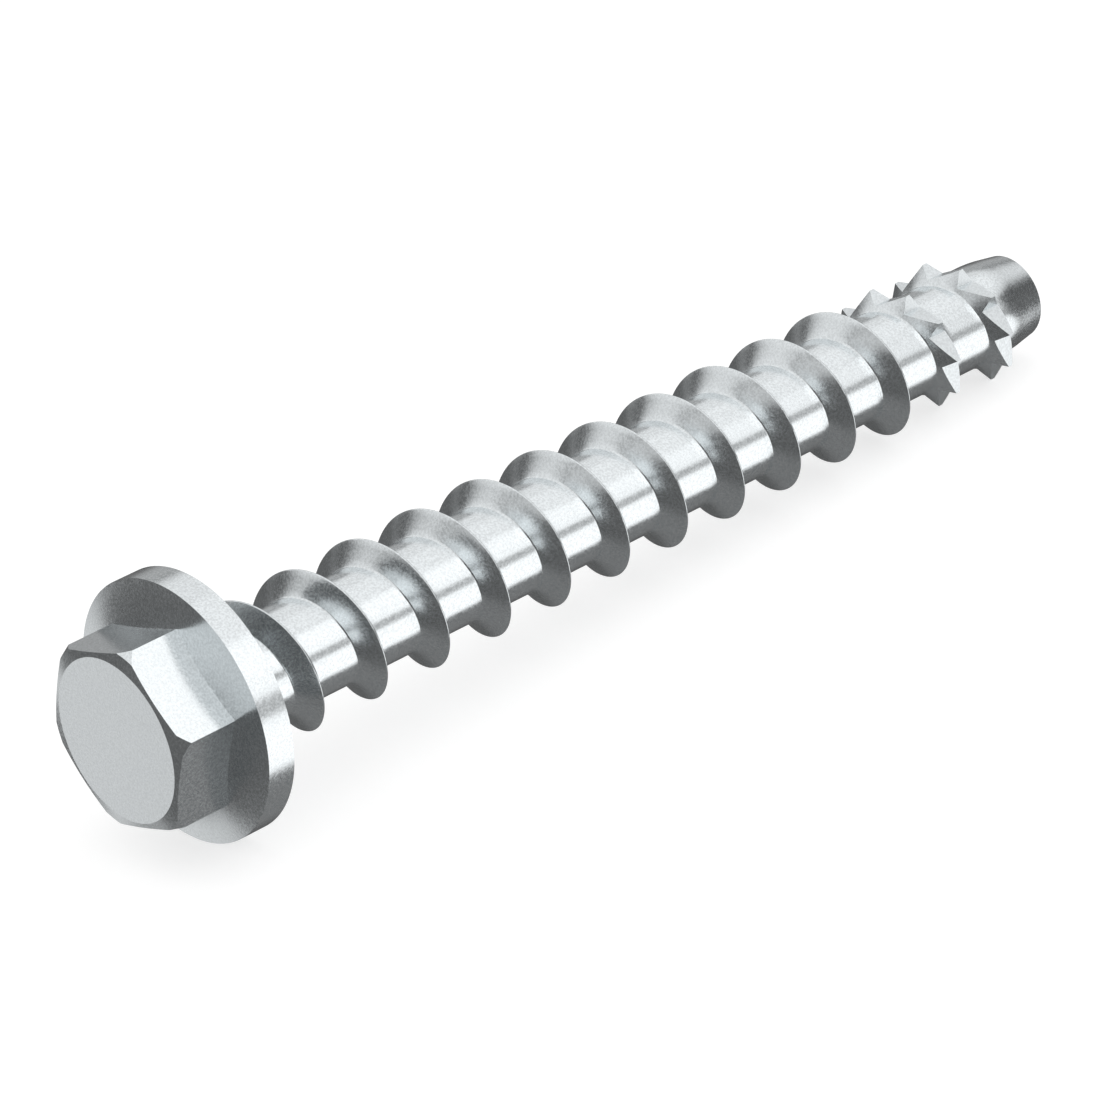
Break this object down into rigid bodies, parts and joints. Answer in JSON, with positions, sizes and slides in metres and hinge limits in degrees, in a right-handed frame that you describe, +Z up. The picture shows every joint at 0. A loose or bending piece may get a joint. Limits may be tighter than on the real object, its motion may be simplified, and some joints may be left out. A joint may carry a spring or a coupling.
{
  "type": "concrete screw",
  "caption": "Hexagon flange-head screw for drilled concrete, with a coarse sharp thread, saw teeth on the turns near its blunt tip and a bright zinc finish.",
  "frame": {"origin": "on the surface the screw lies on, below the middle of its box", "axes": "+X along the screw from the head to the tip, level with the surface; +Z up"},
  "size_m": [0.103, 0.0224, 0.0226],
  "materials": {
    "zinc_plated_steel": "bright zinc plating, cool grey, finely speckled"
  },
  "bodies": {
    "root": {"concrete_screw": "zinc_plated_steel"}
  },
  "joints": []
}
